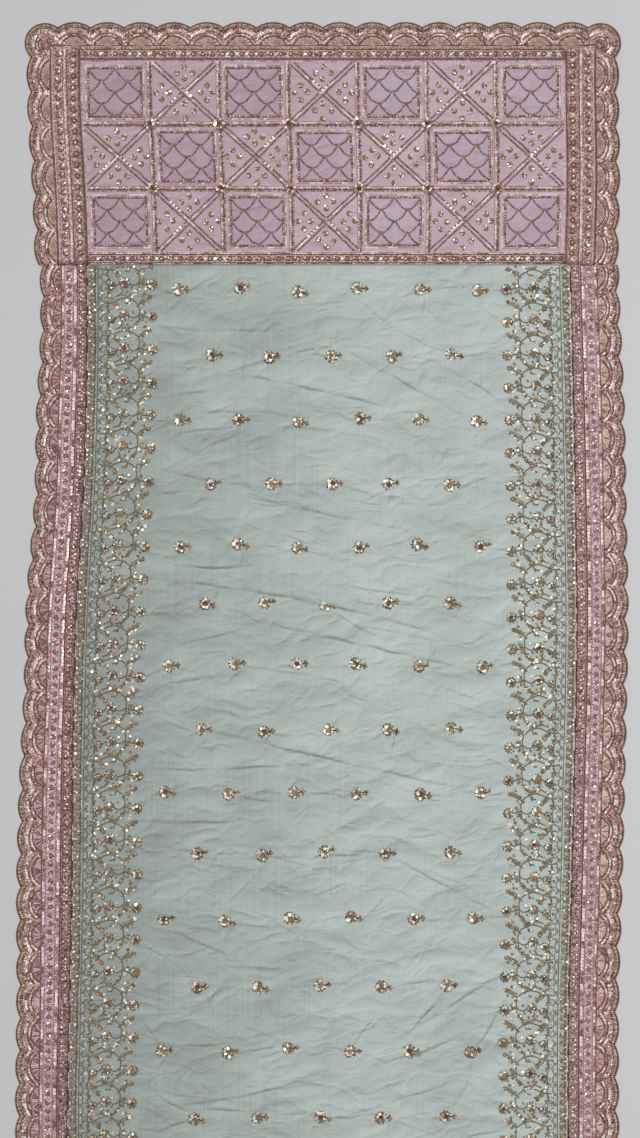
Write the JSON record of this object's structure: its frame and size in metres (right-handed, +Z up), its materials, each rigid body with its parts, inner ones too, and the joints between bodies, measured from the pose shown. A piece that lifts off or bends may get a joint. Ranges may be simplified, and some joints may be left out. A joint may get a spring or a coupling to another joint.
{
  "type": "net saree laid flat",
  "caption": "Embroidered net saree laid flat, with scalloped borders down both sides and a latticed pallu across one end.",
  "frame": {"origin": "on the surface it lies on, under the middle of the cloth's box", "axes": "+Y along the length towards the pallu, +X across to the right seen from above, +Z up"},
  "size_m": [1.1666, 5.5, 0.0077],
  "materials": {
    "mint_net": "fine net with a soft sheen",
    "lilac_net": "fine net under metallic cords",
    "scallop_embroidery": "metallic thread and sequins on net",
    "beaded_tape": "dense metallic beads and thread"
  },
  "bodies": {
    "root": {"pallu_net": "lilac_net", "pallu_edge_top": "scallop_embroidery", "pallu_edge_left": "scallop_embroidery", "pallu_edge_right": "scallop_embroidery", "pallu_band_top": "beaded_tape", "pallu_band_bottom": "beaded_tape", "pallu_band_left": "beaded_tape", "pallu_band_right": "beaded_tape", "body_net": "mint_net", "edge_left": "scallop_embroidery", "edge_right": "scallop_embroidery", "band_left": "beaded_tape", "band_right": "beaded_tape", "end_hem": "mint_net"}
  },
  "joints": []
}
